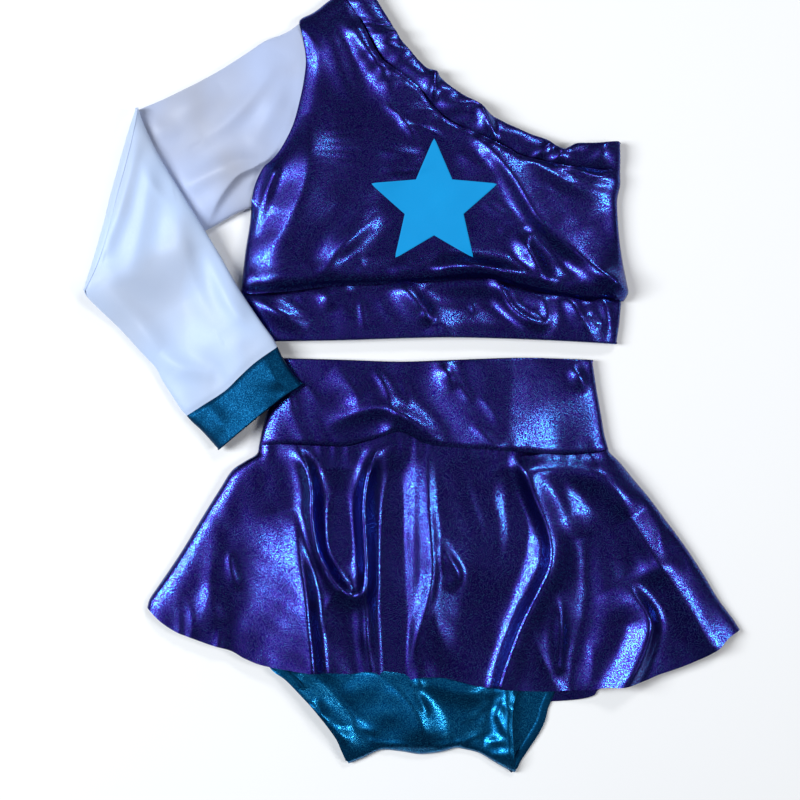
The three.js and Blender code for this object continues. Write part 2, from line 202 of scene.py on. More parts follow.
def lift(plan, z):
    return np.dstack([plan, np.broadcast_to(z, plan.shape[:2])])


def cloth(name, grids, body, material, thickness=CLOTH):
    """Cloth made from grids of points, on a body or on none yet. Edges that meet are joined."""
    verts, faces, start = [], [], 0
    for g in grids:
        rows, cols = g.shape[:2]
        verts.append(g.reshape(-1, 3) * MM)
        i = start + np.arange(rows - 1)[:, None] * cols + np.arange(cols - 1)[None]
        faces.append(np.stack([i, i + 1, i + cols + 1, i + cols], -1).reshape(-1, 4))
        start += rows * cols
    mesh = bpy.data.meshes.new(name)
    mesh.from_pydata(np.vstack(verts).tolist(), [], np.vstack(faces).tolist())
    bm = bmesh.new()
    bm.from_mesh(mesh)
    bmesh.ops.remove_doubles(bm, verts=bm.verts, dist=WELD)
    bmesh.ops.dissolve_degenerate(bm, edges=bm.edges, dist=WELD / 2)
    for edge in bm.edges:
        edge.smooth = not edge.is_boundary
    bm.to_mesh(mesh)
    bm.free()
    mesh.polygons.foreach_set("use_smooth", [True] * len(mesh.polygons))
    piece = bpy.data.objects.new(name, mesh)
    bpy.context.scene.collection.objects.link(piece)
    if thickness:
        solid = piece.modifiers.new("ply", "SOLIDIFY")
        solid.thickness = thickness * MM
        solid.offset = -1
        solid.use_rim = True
    mesh.materials.append(material)
    if body:
        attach(piece, body)
    return piece


def rounded(cols, power):
    """1 across a flattened tube, falling to 0 at its two edges, later for a higher power."""
    s = np.abs(2 * share(cols, EASE) - 1)
    return ((1 - s**power) ** (1 / SECTION_ROOT))[None]


def tube(plan, back_plan, front, back, edge, power):
    """Front and back grids of a flattened tube that meet along both sides at the height edge."""
    section = rounded(plan.shape[1], power)
    top = edge + (front - edge) * section
    under = edge + (back - edge) * section
    return [lift(plan, top), lift(back_plan, under)[:, ::-1]]


def grid_size(width, height, step=STEP):
    return max(8, int(height / step)), max(8, int(width / step))


# --- Materials -----------------------------------------------------------------------------------


class Nodes:
    """A material and short ways to add to it. Noise scales are waves to the metre."""

    def __init__(self, name):
        self.material = bpy.data.materials.new(name)
        self.material.use_nodes = True
        self.tree = self.material.node_tree
        self.surface = self.tree.nodes["Principled BSDF"]
        self.place = self.tree.nodes.new("ShaderNodeTexCoord").outputs["Object"]

    def link(self, a, b):
        self.tree.links.new(a, b)

    def noise(self, scale, detail=2.0, roughness=0.5, stretch=None):
        node = self.tree.nodes.new("ShaderNodeTexNoise")
        node.inputs["Scale"].default_value = scale
        node.inputs["Detail"].default_value = detail
        node.inputs["Roughness"].default_value = roughness
        where = self.place
        if stretch:
            mapping = self.tree.nodes.new("ShaderNodeMapping")
            mapping.inputs["Scale"].default_value = stretch
            self.link(where, mapping.inputs["Vector"])
            where = mapping.outputs["Vector"]
        self.link(where, node.inputs["Vector"])
        return node.outputs["Fac"]

    def ramp(self, value, stops):
        node = self.tree.nodes.new("ShaderNodeValToRGB")
        elements = node.color_ramp.elements
        while len(elements) < len(stops):
            elements.new(0.5)
        for element, (place, color) in zip(elements, stops):
            element.position = place
            element.color = (*color, 1)
        self.link(value, node.inputs["Fac"])
        return node.outputs["Color"]

    def spread(self, value, low, high, start=0.35, stop=0.65):
        node = self.tree.nodes.new("ShaderNodeMapRange")
        ends = {"From Min": start, "From Max": stop, "To Min": low, "To Max": high}
        for key, number in ends.items():
            node.inputs[key].default_value = number
        self.link(value, node.inputs["Value"])
        return node.outputs["Result"]

    def maths(self, how, a, b):
        node = self.tree.nodes.new("ShaderNodeMath")
        node.operation = how
        for socket, value in zip(node.inputs, (a, b)):
            if isinstance(value, (int, float)):
                socket.default_value = value
            else:
                self.link(value, socket)
        return node.outputs[0]

    def bump(self, height, strength, distance):
        node = self.tree.nodes.new("ShaderNodeBump")
        node.inputs["Strength"].default_value = strength
        node.inputs["Distance"].default_value = distance
        self.link(height, node.inputs["Height"])
        self.link(node.outputs["Normal"], self.surface.inputs["Normal"])

    def set(self, **values):
        for key, value in values.items():
            socket = self.surface.inputs[key.replace("_", " ")]
            if isinstance(value, bpy.types.NodeSocket):
                self.link(value, socket)
            else:
                socket.default_value = (*value, 1) if isinstance(value, tuple) else value
        return self.material


HALO, CORE = 0.53, 0.61  # how high the noise is where a speck's halo and its core are full


def foil(name, dark, halo, core, broad=0.35, tight=0.18):
    """Foil-printed stretch knit: fine specks with a tight shine on a ground with a broad one."""
    m = Nodes(name)
    specks = m.noise(1500, 3.0, 0.7)
    wear = m.noise(24, 3.0, 0.6)
    knit = m.noise(2600, 1.0, 0.5, (1.0, 0.45, 1.0))
    color = m.ramp(specks, [(0.46, dark), (HALO, halo), (0.555, halo), (CORE, core)])
    shine = m.spread(specks, broad, tight, HALO, CORE - 0.01)
    rough = m.maths("ADD", shine, m.spread(wear, -0.03, 0.04))
    m.bump(m.maths("ADD", specks, knit), 0.16, 0.00018)
    return m.set(Base_Color=color, Roughness=rough, Metallic=1.0, Specular_IOR_Level=0.5)


def knit(name, light, shade, roughness, sheen=0.25):
    m = Nodes(name)
    fine = m.noise(1900, 2.0, 0.6, (1.0, 0.5, 1.0))
    broad = m.noise(14, 2.0, 0.5)
    # Broad random patches of painted shade and painted light across the knit.
    color = m.ramp(broad, [(0.38, shade), (0.62, light)])
    m.bump(fine, 0.3, 0.0002)
    return m.set(
        Base_Color=color,
        Roughness=m.spread(fine, roughness - 0.08, roughness + 0.08),
        Sheen_Weight=sheen,
        Sheen_Roughness=0.45,
        Specular_IOR_Level=0.45,
    )


def film(name, light, shade):
    m = Nodes(name)
    grain = m.noise(700, 4.0, 0.7)
    broad = m.noise(20, 2.0, 0.5)
    m.bump(m.maths("ADD", grain, broad), 0.12, 0.0002)
    return m.set(
        Base_Color=m.ramp(broad, [(0.3, shade), (0.7, light)]),
        Roughness=m.spread(grain, 0.62, 0.74),
        Specular_IOR_Level=0.2,
    )


PURPLE = foil("purple_foil", (0.004, 0.003, 0.105), (0.060, 0.022, 0.25), (0.02, 0.26, 0.64))
TEAL = foil("teal_foil", (0.0, 0.032, 0.12), (0.004, 0.125, 0.31), (0.04, 0.41, 0.76), 0.40, 0.26)
TEAL_KNIT = foil(
    "teal_knit", (0.001, 0.028, 0.085), (0.002, 0.055, 0.14), (0.008, 0.10, 0.22), 0.55, 0.45
)
# One white knit in two copies: the upper sleeve's is darker and warmer as painted shade, the
# forearm's and the elbow fold's is lighter and cooler as painted light.
SLEEVE_KNIT_SHADED = knit("white_knit", (0.45, 0.53, 0.76), (0.42, 0.45, 0.56), 0.5)
FOREARM_KNIT_LIT = knit("forearm_knit_painted_light", (0.50, 0.63, 0.88), (0.47, 0.55, 0.72), 0.5)
BLUE = film("blue_film", (0.0, 0.31, 0.70), (0.0, 0.28, 0.65))


# --- Skirted brief -------------------------------------------------------------------------------

SEAM_Y = -47  # the waist seam, near enough, where its puckers lie
WAIST_SEAM = [
    (-112, -46), (-97, -45), (-67, -46), (-50, -46.5), (-38, -44), (-24, -40), (-10, -36), (8, -44),
    (19, -46), (48, -48), (76, -50), (105, -52.5), (120, -52), (134, -50.5), (140.5, -48),
]
WAIST_TOP = [
    (-98, 16.6), (-82, 16), (-53, 15.2), (-10, 13.8), (26, 15), (76, 16.6), (105, 16), (129, 15.2),
]
WAIST_LEFT = [(-112, -46), (-109.5, -34), (-105, -18), (-101, 0), (-98, 16.6)]
WAIST_RIGHT = [(140.5, -48), (137.5, -37), (135, -22), (131.5, -2), (129, 15.2)]
HEM = [
    (-193, -163), (-183, -172.8), (-172, -180), (-161, -184.3), (-147, -189.3), (-132, -193.7),
    (-121.6, -199.4), (-107, -204.5), (-82, -208), (-60, -209.5), (-46, -210.2), (-29.4, -208.8),
    (-17, -216.7), (-7.8, -218.9), (0.8, -213.5), (19, -213.1), (33, -216), (48, -219.6),
    (62, -220.3), (84, -222.5), (105, -222.5), (127, -221.7), (138, -219.6), (152, -218.9),
    (166, -215.3), (177, -210.9), (192, -205.9), (206, -200.1), (213, -196.5), (220.4, -191.5),
    (227, -184.5), (236, -179),
]
SKIRT_LEFT = [
    (-193, -163), (-191, -156.5), (-183, -144.7), (-168, -122.4), (-154, -99.3), (-139.6, -76.3),
    (-131.5, -64), (-122, -57.2), (-113.5, -52), (-112, -46),
]
SKIRT_RIGHT = [
    (236, -179), (231, -171.3), (220.4, -156.9), (209.6, -138.9), (198.8, -122.4), (191.6, -112.3),
    (180.8, -97.9), (170, -83.5), (159, -70.5), (148.4, -57.6), (141.5, -51), (140.5, -48),
]
BACK_HEM = [
    (-193, -163), (-161, -180), (-121, -195), (-80, -203), (0, -224), (60, -232.5), (98.7, -231.4),
    (119.6, -229.7), (130.4, -226.8), (138.3, -220.3), (180, -206), (213, -193), (236, -179),
]

SKIRT_FOLDS = [
    (5, 6, 1.7, [(-88, -42, 1), (-82, -50, 6), (-76, -63, 8), (-73, -80, 9), (-73, -97, 9),
                 (-69, -120, 8.5), (-62, -135, 8), (-55, -146, 7), (-45, -154, 5.5),
                 (-37, -150, 3.5), (-33, -142, 1)]),
    (5, 5, 1.7, [(-17, -40, 2), (-28, -52, 6), (-34, -72, 8), (-36, -92, 9), (-35, -116, 9),
                 (-34, -138, 8.5), (-35, -157, 6), (-34, -180, 4.5), (-33, -196, 2.5),
                 (-32, -212, 1.5)]),
    (13, 13, 3, [(-53, -62, 0), (-54, -88, -5), (-53, -118, -7), (-48, -136, -3), (-44, -146, 0)]),
    (11, 11, 3, [(-12, -48, -1), (-15, -90, -6), (-16, -150, -7), (-12, -222, -6)]),
    (6, 8, 1, [(9, -48, 0), (10, -66, 1.6), (11, -92, 2.8), (13, -120, 4), (13, -142, 4.4),
               (6, -171, 3.6), (-2, -196, 1.8), (-6, -214, 0.6)]),
    (5, 9, 1, [(18, -112, 0), (25, -126, 2.6), (32, -139, 3), (26, -152, 0)]),
    (17, 17, 2.4, [(44, -70, -1), (48, -120, -3), (44, -180, -4), (34, -216, -3)]),
    (10, 10, 2.2, [(66, -62, 0), (72, -86, -5), (76, -108, -6), (70, -140, -3), (56, -176, 0)]),
    (14, 5, 1.7, [(72, -52, 1), (79, -64, 7), (87, -84, 9), (96, -106, 10), (98, -128, 11),
                  (89, -150, 11), (78, -172, 11), (67, -201, 10), (62, -218, 9)]),
    (12, 11, 2, [(116, -96, 0), (122, -130, -3), (122, -170, -3), (110, -221, -2)]),
    (9, 30, 1, [(-88, -92, 0), (-85, -106, 4.5), (-82, -126, 8.5), (-78, -150, 11.5),
                (-75, -178, 13), (-72, -208, 14)]),
    (13, 12, 1.9, [(70, -58, 0), (92, -61, 4), (116, -64, 6), (136, -70, 6), (150, -82, 4),
                   (158, -96, 0)]),
    (7, 10, 1.9, [(102, -66, 0), (110, -80, 2.2), (118, -98, 2), (122, -112, 0)]),
    (15, 9, 1.8, [(134, -64, 2), (152, -92, 5), (176, -130, 6), (202, -170, 6), (214, -190, 5)]),
    (6, 14, 1.8, [(150, -142, 0), (160, -156, 6), (169, -174, 9), (163, -198, 9), (150, -222, 8)]),
    (8, 9, 1.8, [(154, -146, 0), (168, -138, 2.2), (184, -132, 1.2), (194, -128, 0)]),
    (4, 5, 1.7, [(104, -150, 0), (106, -175, 3), (105, -205, 2)]),
]


SKIRT_LEAST = 2.2  # the lowest that the skirt's front lies
OVER_BRIEF = 8.8  # the same where the brief is under it


def skirt_height(x, y):
    """Height of the skirt's front, kept clear of the brief that lies under it."""
    down = smooth((-45 - y) / 170)
    reach = np.abs(x - 17) / (118 + 92 * np.clip((-45 - y) / 135, 0, 1))
    base = SKIRT_LOFT - 1.5 * down - 3 * down * smooth((reach - 0.45) / 0.5)
    z = base + folds(x, y, SKIRT_FOLDS) * smooth((-40 - y) / 26)
    broad = ripple(x, y, 3, 44, heading=-88, spread=50)
    fine = ripple(x, y, 4, 13, heading=-85, spread=90)
    z += 0.5 * down * broad + 0.05 * fine
    z += creases(
        x, y, seed=11, count=26, box=(-180, -210, 220, -60), heading=-85, spread=30,
        length=(30, 80), height=(0.4, 1.4), width=(3, 7),
    ) * down**0.5
    pucker = bell(SEAM_Y - y, 9) * 0.2 * np.sin(x * 0.42 + 2.2 * np.sin(x * 0.11))
    over_brief = OVER_BRIEF * smooth((122 - np.abs(x)) / 14) * smooth((x + 150) / 30)
    least = np.maximum(SKIRT_LEAST, over_brief)
    return least + np.logaddexp(0, (z + pucker - least) * 2) / 2


def skirt():
    rows, cols = grid_size(430, 175, 1.4)
    plan = plan_of(HEM, WAIST_SEAM, SKIRT_LEFT, SKIRT_RIGHT, rows, cols)
    back_plan = plan_of(BACK_HEM, WAIST_SEAM, SKIRT_LEFT, SKIRT_RIGHT, rows, cols)
    x, y = plan[..., 0], plan[..., 1]
    back = 0.9 + 0.3 * ripple(back_plan[..., 0], back_plan[..., 1], 5, 60)
    v = share(rows)[:, None]
    edge = 1.9 + 4.1 * smooth(v * 1.15 - 0.15)
    grids = tube(plan, back_plan, skirt_height(x, y), back, edge, 30)
    piece = cloth("skirt_cloth", grids, "skirted_brief", PURPLE)
    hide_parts("skirt_front", "skirt_back", "skirt_side_seam_left", "skirt_side_seam_right")


WAIST_FOLDS = [
    (8, 7, 1.7, [(-64, -32, 0), (-46, -24, 2.5), (-24, -19, 4.5), (-6, -25, 6), (8, -35, 5),
                 (20, -44, 1)]),
    (42, 80, 1, [(72, 17, 0), (70, 4, 3.5), (66, -20, 9.5), (63, -47, 12)]),
    (14, 50, 1, [(70, 16, 3.5), (69, 4, 3.2), (68, -10, 1.6), (67, -24, 0)]),
    (5, 6, 1.8, [(-94, 2, 0), (-88, -20, 1), (-80, -40, 0.8)]),
    (9, 10, 1.8, [(-60, 8, 0), (-46, -4, 1.6), (-26, -8, 1.4), (0, -4, 0)]),
    (6, 6, 1.8, [(20, 14, 1), (24, 6, 3), (30, -6, 0)]),
    (4, 6, 1.8, [(112, 12, 0), (119, 4, 3.5), (124, -8, 0)]),
]


def waistband():
    rows, cols = grid_size(252, 64)
    plan = plan_of(WAIST_SEAM, WAIST_TOP, WAIST_LEFT, WAIST_RIGHT, rows, cols)
    x, y = plan[..., 0], plan[..., 1]
    waves = ripple(x, y, 21, 36, heading=-80, spread=90)
    z = WAISTBAND_LOFT + folds(x, y, WAIST_FOLDS) + 0.16 * waves
    z += creases(
        x, y, seed=22, count=10, box=(-100, -44, 130, 12), heading=-78, spread=35,
        length=(14, 40), height=(0.3, 1.2), width=(2, 4.5),
    )
    z += 0.2 * bell(y - SEAM_Y, 6) * np.sin(x * 0.36 + 2 * np.sin(x * 0.09))
    v = share(rows)[:, None]
    z -= 1.1 * bell(v, 0.03)
    outer = tube(plan, plan, z, 0.7, 5.5, 14)
    inner_rows = rows * 2 // 3
    turned = [turn_in(g, rows - inner_rows, s) for g, s in zip(outer, (-1, 1))]
    piece = cloth("waistband_cloth", turned, "skirted_brief", PURPLE)
    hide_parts("waistband", "waist_elastic", "waist_seam_overlock")


def turn_in(grid, keep, way, depth=1.7):
    """Folds the last edge of a grid over to its inner side, as far back as row keep."""
    rim = grid[-1]
    along = grid[-1] - grid[-3]
    along /= np.maximum(np.linalg.norm(along, axis=-1, keepdims=True), 1e-6)
    up = np.zeros(3)
    up[2] = way
    arc = []
    steps = 6
    for k in range(1, steps):
        angle = math.pi * k / steps
        out, rise = math.sin(angle), 1 - math.cos(angle)
        arc.append(rim + along * (depth / 2) * out + up * (depth / 2) * rise)
    inner = grid[keep:-1][::-1] + up * depth
    arc.append(rim + up * depth)
    narrow = np.linspace(0, 1, grid.shape[1])
    hold = 1.4 * (np.exp(-narrow * 30) - np.exp(-(1 - narrow) * 30))
    shift = np.zeros(inner.shape)
    shift[..., 0] = hold * np.sign(grid[0, -1, 0] - grid[0, 0, 0])
    return np.concatenate([grid, np.stack(arc), inner + shift])


BRIEF_BOTTOM = [
    (-47, -276), (-37.3, -272.1), (-24.4, -266.4), (-10, -267.1), (4.4, -269.3), (19, -267.8),
    (30, -264.9), (36.8, -265.7), (47.6, -268.5), (58.4, -275), (69, -281), (73, -282.5),
]
BRIEF_TOP = [(-106, -56), (-50, -56), (20, -56), (80, -56), (132, -56)]
BRIEF_LEFT = [
    (-47, -276), (-51, -268.5), (-56.8, -256.3), (-69, -239.7), (-82, -225.3), (-92.8, -214.5),
    (-103.6, -206.6), (-113, -190), (-114, -165), (-111, -110), (-106, -56),
]
BRIEF_RIGHT = [
    (73, -282.5), (71.8, -262), (71, -242), (75, -224), (95, -206), (122, -188), (139, -168),
    (138, -110), (132, -56),
]
BRIEF_RIGHT_BACK = [
    (73, -282.5), (76.4, -275.7), (83.6, -264.9), (90.8, -254.1), (95.1, -244.8), (97.5, -234),
    (108, -212), (128, -188), (139, -168), (138, -110), (132, -56),
]
BRIEF_FOLDS = [
    (9, 12, 1, [(-104, -206, 1), (-90, -218, 4.5), (-74, -232, 6), (-59, -248, 6),
                (-47, -264, 1.5)]),
    (6, 6, 1.8, [(-78, -204, -1), (-60, -221, -3), (-43, -242, -3), (-32, -260, -1)]),
    (16, 25, 1, [(-38, -204, 2), (-16, -220, 7), (0, -236, 11), (8, -252, 10), (12, -265, 2)]),
    (10, 10, 2, [(52, -212, -1), (56, -232, -3.5), (48, -256, -2.5)]),
    (8, 8, 1.8, [(-4, -212, 1), (16, -219, 3.5), (42, -224, 3.5), (60, -214, 1)]),
    (8, 5, 1.8, [(64, -212, 2), (67, -236, 5), (69, -262, 5), (72, -280, 1)]),
    (2.2, 2.2, 2, [(-30, -259, 0.5), (-20.8, -261.3, 1.3), (11.6, -262.8, 1.3), (29.6, -261.3, 1.3),
                   (42, -256.3, 1), (52, -252, 0.4)]),
]


def brief():
    rows, cols = grid_size(200, 225)
    front = plan_of(BRIEF_BOTTOM, BRIEF_TOP, BRIEF_LEFT, BRIEF_RIGHT, rows, cols)
    back = plan_of(BRIEF_BOTTOM, BRIEF_TOP, BRIEF_LEFT, BRIEF_RIGHT_BACK, rows, cols)
    x, y = front[..., 0], front[..., 1]
    shown = smooth((-198 - y) / 14)
    v = share(rows)[:, None]
    crotch = (1 - np.clip(1 - v / 0.05, 0, 1) ** 2.2) ** 0.5
    relief = 0.8 * folds(x, y, BRIEF_FOLDS) + 0.15 * ripple(x, y, 31, 26)
    z = BRIEF_LOFT + 1.3 * shown + shown * relief
    z += shown * creases(
        x, y, seed=32, count=20, box=(-100, -280, 95, -205), heading=-40, spread=80,
        length=(10, 34), height=(0.4, 1.5), width=(2, 4),
    )
    bottom, least, lowest = 3.0, 4.2, 1.6
    z = bottom + (np.maximum(z, least) - bottom) * crotch
    low = bottom + (lowest - bottom) * crotch
    hip = smooth((v - 0.5) / 0.08)
    section = 1 - (1 - rounded(cols, 14)) * hip
    edge = 3.2
    top, under = edge + (z - edge) * section, edge + (low - edge) * section
    grids = [lift(front, top), lift(back, under)[:, ::-1]]
    piece = cloth("brief_cloth", grids, "skirted_brief", TEAL)
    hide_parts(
        "brief_front",
        "brief_back",
        "brief_side_seam_left",
        "brief_side_seam_right",
        "gusset",
    )
    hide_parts("gusset_lining")


def binding(name, line, half_width, half_depth, body, material):
    """A flattened strip round a closed line of points: half_width in plan, half_depth upright."""
    p = np.asarray(line, float)
    n = max(24, int(np.linalg.norm(np.diff(p, axis=0), axis=1).sum() / 2))
    p = spline(np.vstack([p, p[:1]]), n + 1)[:-1]
    ahead = np.roll(p, -1, 0) - np.roll(p, 1, 0)
    ahead /= np.linalg.norm(ahead, axis=1, keepdims=True)
    sideways = np.cross(ahead, (0, 0, 1))
    sideways /= np.linalg.norm(sideways, axis=1, keepdims=True)
    up = np.cross(sideways, ahead)
    facets = 10
    ring = []
    for k in range(facets):
        a = 2 * math.pi * k / facets
        c, s = math.cos(a), math.sin(a)
        ring.append(p + sideways * half_width * c + up * half_depth * s)
    g = np.stack(ring, 1)
    g = np.concatenate([g, g[:, :1]], 1)
    g = np.concatenate([g, g[:1]])
    return cloth(name, [g], body, material, thickness=0)


def leg_bands():
    """The bindings round the leg openings, each along (x, y, z) points."""
    left = [
        (-110, -172, 4.8), (-108.5, -190, 5.6), (-100.5, -204.5, 6.8), (-90, -212, 7.6),
        (-79.5, -223, 7.6), (-66.5, -237.5, 7), (-54.3, -254.5, 6), (-49, -266, 5),
        (-45.5, -274, 3.4), (-50, -262, 1.9), (-58, -249, 1.6), (-72, -232, 1.5), (-86, -216, 1.5),
        (-102, -199, 1.5), (-108, -184, 1.8),
    ]
    right = [
        (136, -167, 4.8), (120, -185, 5.8), (94, -203, 6.6), (73.5, -221.5, 7.4), (68.5, -241, 7.4),
        (69, -262, 6), (70.5, -279, 3.4), (75, -272, 1.8), (81, -263, 1.6), (88, -252, 1.6),
        (92.3, -243, 1.6), (95, -233, 1.5), (106, -211, 1.5), (127, -187, 1.5), (135, -172, 2),
    ]
    for side, line in (("left", left), ("right", right)):
        name = f"leg_band_{side}_cloth"
        band = binding(name, line, 3.4, 1.15, "skirted_brief", TEAL_KNIT)
        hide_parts(f"leg_band_{side}", f"leg_elastic_{side}")


# --- Crop top ------------------------------------------------------------------------------------

NECK_SEAM = [
    (-52, 281.5), (-48, 275), (-38.8, 260.7), (-31.6, 246.3), (-25.8, 235.5), (-20.8, 229.7),
    (-10, 222.5), (4.4, 211.7), (15.2, 198), (26, 188.7), (40.4, 181.5), (54.8, 174.3), (69, 167.1),
    (76.4, 162.7), (94.4, 158.4), (112.4, 155), (127, 154), (149, 152.7),
]
NECK_EDGE = [
    (-31, 283.5), (-27.3, 275.1), (-20.8, 264.3), (-15, 254.9), (-10, 246.3), (-2.8, 237.6),
    (4.4, 229.7), (9.5, 225.4), (15.9, 223.2), (18.8, 218.9), (26, 212.4), (36.8, 205.2),
    (47.6, 199.5), (54.8, 192.3), (62, 187.9), (69.2, 184.3), (83.6, 177.9), (94.4, 174.3),
    (101.6, 169.9), (107.4, 167.1), (112.4, 169.2), (118.2, 171.4), (134, 171.4), (147, 172.8),
    (148.4, 170.7),
]
BAND_SEAM = [
    (-125.2, 66.3), (-110.8, 66.3), (-89.2, 67.7), (-67.6, 70.6), (-46, 72), (-10, 73.5),
    (18.8, 75.6), (47.6, 77.1), (62, 74.9), (76.4, 70.6), (94.4, 67), (112.4, 64.1), (126.8, 61.9),
    (137.6, 63.4), (150, 60.5),
]
BAND_EDGE = [
    (-123, 30.3), (-97.8, 30.3), (-53.2, 31), (-10, 32.4), (26, 33.1), (62, 32.4), (98, 31),
    (126.8, 29.5), (146.3, 28.1),
]
TOP_LEFT = [
    (-125.2, 63.5), (-123.7, 77), (-121.6, 95), (-118.7, 113), (-117.3, 126), (-114.5, 141),
    (-108.5, 154), (-102, 160), (-94.9, 169.2), (-87, 185), (-82, 203), (-79.1, 217.5),
    (-77.7, 232), (-79.8, 246.3), (-82.7, 259.2), (-80.5, 263), (-74.8, 265.6), (-69, 269.3),
    (-61.8, 275.1), (-52, 281.5),
]
ARMHOLE = (4, 14)  # the first and last points of TOP_LEFT that lie on the armhole
TOP_RIGHT = [
    (151.5, 58), (154.9, 64), (154.2, 70), (151.3, 84.3), (149.1, 98.7), (147.7, 113.1),
    (147, 131.1), (149.1, 142), (149, 152.7),
]
BODICE_FOLDS = [
    (46, 22, 1, [(-78, 192, 0), (-74, 177, 4), (-74, 158, 9), (-79, 136, 9.6), (-89, 115, 8.8),
                 (-101, 95, 6.6), (-113, 78, 3)]),
    (5, 8, 1.8, [(8, 79, 0), (32, 82, 3.5), (58, 80, 4.5), (82, 75, 3), (96, 70, 0)]),
    (5, 6, 1.8, [(-92, 172, 0), (-102, 148, 3), (-110, 124, 2.5), (-115, 104, 0)]),
    (13, 7, 1.8, [(-56, 264, 0), (-44, 252, 4), (-35, 240, 6), (-26, 228, 5), (-18, 214, 2),
                  (-12, 200, 0)]),
    (8, 10, 1.9, [(-62, 262, 0), (-56, 238, 2.5), (-48, 212, 1.5), (-40, 190, 0)]),
    (17, 7, 1.7, [(44, 178, 1), (58, 164, 5), (72, 146, 8), (86, 122, 9), (100, 106, 9),
                  (118, 92, 8), (137, 78, 7), (154, 64, 5)]),
    (8, 7, 1.7, [(74, 108, 0), (80, 98, 5), (87, 86, 6.5), (94, 74, 3)]),
    (6, 8, 1.8, [(84, 160, 1), (104, 146, 3.5), (124, 138, 2.5), (146, 134, 1)]),
    (4, 6, 1.8, [(108, 157, 1), (126, 148, 3), (147, 146, 2)]),
    (7, 9, 1.8, [(-24, 124, 0), (-38, 110, 4), (-53, 95, 4.5), (-68, 76, 1)]),
    (7, 8, 1.8, [(18, 90, 0), (36, 86, 3.5), (54, 80, 3), (64, 76, 0)]),
    (6, 9, 1.9, [(112, 90, 0), (126, 78, 3), (146, 74, 3)]),
    (10, 14, 2, [(6, 168, 0), (-16, 152, 2.5), (-42, 136, 1)]),
]


def bodice_height(x, y):
    """Height of the bodice's front, with its pulls along the band seam and the neck seam."""
    broad, fine = ripple(x, y, 41, 52), ripple(x, y, 42, 15)
    z = BODICE_LOFT + folds(x, y, BODICE_FOLDS) + 0.4 * broad + 0.04 * fine
    z += creases(
        x, y, seed=43, count=18, box=(-115, 66, 150, 262), heading=-60, spread=70,
        length=(14, 44), height=(0.4, 1.5), width=(2.5, 5.5),
    )
    seam, _, _ = near(x, y, [(*p, 0) for p in BAND_SEAM])
    pull = 0.35 * bell(seam, 9) * np.sin(x * 0.31 + 2 * np.sin(x * 0.043))
    z += 2.8 * bell(seam - 7, 8) + pull
    seam, _, _ = near(x, y, [(*p, 0) for p in NECK_SEAM])
    pull = bell(seam, 12) * np.sin((x - y) * 0.33 + 2 * np.sin((x - y) * 0.05))
    return z + 0.22 * pull - 1.2 * bell(seam, 2.2)


def bodice():
    rows, cols = grid_size(278, 212)
    low = [(p[0], p[1] - 2.6) for p in BAND_SEAM]
    low[0], low[-1] = TOP_LEFT[0], TOP_RIGHT[0]
    plan = plan_of(low, NECK_SEAM, TOP_LEFT, TOP_RIGHT, rows, cols)
    x, y = plan[..., 0], plan[..., 1]
    z = bodice_height(x, y)
    v = share(rows)[:, None]
    z -= 4.2 * bell(v, 0.016)
    reach = np.linalg.norm(np.diff(np.array(TOP_LEFT), axis=0), axis=1)
    arm = np.r_[0, np.cumsum(reach)] / reach.sum()
    first, last = arm[ARMHOLE[0]], arm[ARMHOLE[1]]
    open_side = smooth((v - first + 0.012) / 0.03) * smooth((last - v + 0.012) / 0.03)
    u = share(cols, EASE)[None]
    section = rounded(cols, 16)
    section = np.where(u < 0.5, 1 - (1 - section) * (1 - open_side), section)
    armhole = bell(u, 0.03) * open_side
    z = z * (1 - armhole) + ARMHOLE_LOFT * armhole
    back = BACK_HEIGHT + 0.2 * ripple(x, y, 44, 50)
    edge = 5.4
    top, under = edge + (z - edge) * section, edge + (back - edge) * section
    grids = [lift(plan, top), lift(plan, under)[:, ::-1]]
    piece = cloth("bodice_cloth", grids, "crop_top", PURPLE)
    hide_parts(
        "bodice_front", "bodice_back", "bodice_side_seam_left", "bodice_side_seam_right"
    )
    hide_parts("shoulder_seam")


UNDERBUST_FOLDS = [
    (4, 5, 1.7, [(60, 76, 2), (64, 64, 4), (71, 53, 4.5), (82, 45, 4), (92, 42, 3), (96, 47, 2.5),
                 (94.5, 58, 1.5)]),
    (12, 12, 2.4, [(2, 56, 0), (28, 57, -4), (52, 56, -5), (74, 52, -2), (84, 48, 0)]),
    (6, 8, 1.7, [(-12, 74, 1), (-4, 65, 4), (8, 52, 5), (14, 42, 1)]),
    (7, 9, 1.8, [(-120, 60, 0), (-106, 54, 4), (-90, 46, 4), (-76, 38, 0)]),
    (5, 5, 1.8, [(-66, 70, 0), (-63, 60, 1.6), (-60, 50, 0)]),
    (5, 6, 1.8, [(110, 64, 1), (118, 50, 3), (128, 36, 1)]),
    (4, 5, 1.8, [(136, 62, 1), (140, 48, 2.5), (141, 34, 1)]),
]


